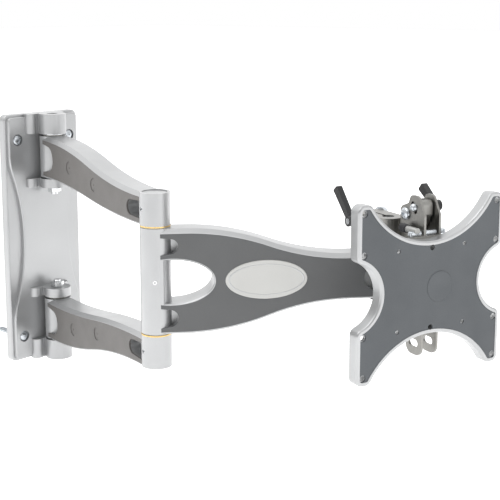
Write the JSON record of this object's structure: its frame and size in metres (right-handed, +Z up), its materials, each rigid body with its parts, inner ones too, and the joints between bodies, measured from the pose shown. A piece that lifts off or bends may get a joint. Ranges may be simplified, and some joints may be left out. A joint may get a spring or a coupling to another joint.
{
  "type": "tv wall mount",
  "caption": "Wall mount for a flat screen: wall plate, paired inner arms, a single outer arm and an X-shaped screen plate that swings, swivels and tilts.",
  "frame": {"origin": "centre of the wall plate's back face, the face that lies on the wall", "axes": "+Y into the wall along the back face's outward normal, +X to the right when facing the wall, +Z up"},
  "size_m": [0.3191, 0.7102, 0.368],
  "materials": {
    "silver_casting": "satin",
    "charcoal_cover": "satin",
    "slate_face": "matte",
    "badge": "satin",
    "zinc": "satin",
    "bright_steel": "gloss",
    "grey_steel": "satin",
    "brass": "satin",
    "black_plastic": "satin",
    "bearing_plastic": "satin"
  },
  "bodies": {
    "wall": {"wall_plate": "silver_casting", "lag_screws": "zinc", "wall_pivot_bolts": "bright_steel", "wall_pivot_nuts": "bright_steel", "wall_pivot_washers": "bright_steel"},
    "inner_arms": {"upper_arm": "silver_casting", "lower_arm": "silver_casting", "upper_arm_left_cover": "charcoal_cover", "upper_arm_right_cover": "charcoal_cover", "lower_arm_left_cover": "charcoal_cover", "lower_arm_right_cover": "charcoal_cover", "arm_cover_plugs": "charcoal_cover", "wall_pivot_bushes": "bearing_plastic", "column_shaft": "zinc", "column_caps": "silver_casting", "column_set_screws": "bright_steel", "elbow_washers": "brass"},
    "outer_arm_body": {"outer_arm": "silver_casting", "outer_arm_left_cover": "charcoal_cover", "outer_arm_right_cover": "charcoal_cover", "arm_badge": "badge", "elbow_bushes": "bearing_plastic", "swivel_bushes": "bearing_plastic"},
    "swivel_head": {"swivel_pin": "zinc", "swivel_washers": "black_plastic", "swivel_yoke": "grey_steel", "swivel_clamp_bolt": "bright_steel", "swivel_clamp_nut": "zinc", "tilt_axle": "zinc", "tilt_axle_nut": "zinc", "tilt_clamp_bolt": "zinc"},
    "tilt_plate": {"tilt_bracket": "grey_steel", "screen_plate": "silver_casting", "screen_face": "slate_face", "face_cap": "slate_face", "bracket_screws": "zinc"},
    "swivel_lever_body": {"swivel_lever": "black_plastic"},
    "tilt_lever_body": {"tilt_lever": "black_plastic"}
  },
  "joints": [
    {"name": "wall_swing", "type": "hinge", "parent": "wall", "child": "inner_arms", "pos_m": [0, -0.038, 0], "axis": [0, 0, 1], "range_deg": [-64.5, 95.5]},
    {"name": "elbow_swing", "type": "hinge", "parent": "inner_arms", "child": "outer_arm_body", "pos_m": [-0.08284, -0.33673, 0], "axis": [0, 0, 1], "range_deg": [-199, 71]},
    {"name": "head_swivel", "type": "hinge", "parent": "outer_arm_body", "child": "swivel_head", "pos_m": [0.14034, -0.53419, 0], "axis": [0, 0, 1], "range_deg": [-21.5, 158.5]},
    {"name": "screen_tilt", "type": "hinge", "parent": "swivel_head", "child": "tilt_plate", "pos_m": [0.12735, -0.56989, 0.083], "axis": [0.9397, -0.342, 0], "range_deg": [-15, 15]},
    {"name": "swivel_lever_turn", "type": "hinge", "parent": "swivel_head", "child": "swivel_lever_body", "pos_m": [0.15608, -0.49096, 0.0614], "axis": [0.9397, -0.342, 0], "range_deg": [-60, 45]},
    {"name": "tilt_lever_turn", "type": "hinge", "parent": "swivel_head", "child": "tilt_lever_body", "pos_m": [0.12184, -0.58504, 0.09307], "axis": [0.9397, -0.342, 0], "range_deg": [-15, 95]}
  ]
}
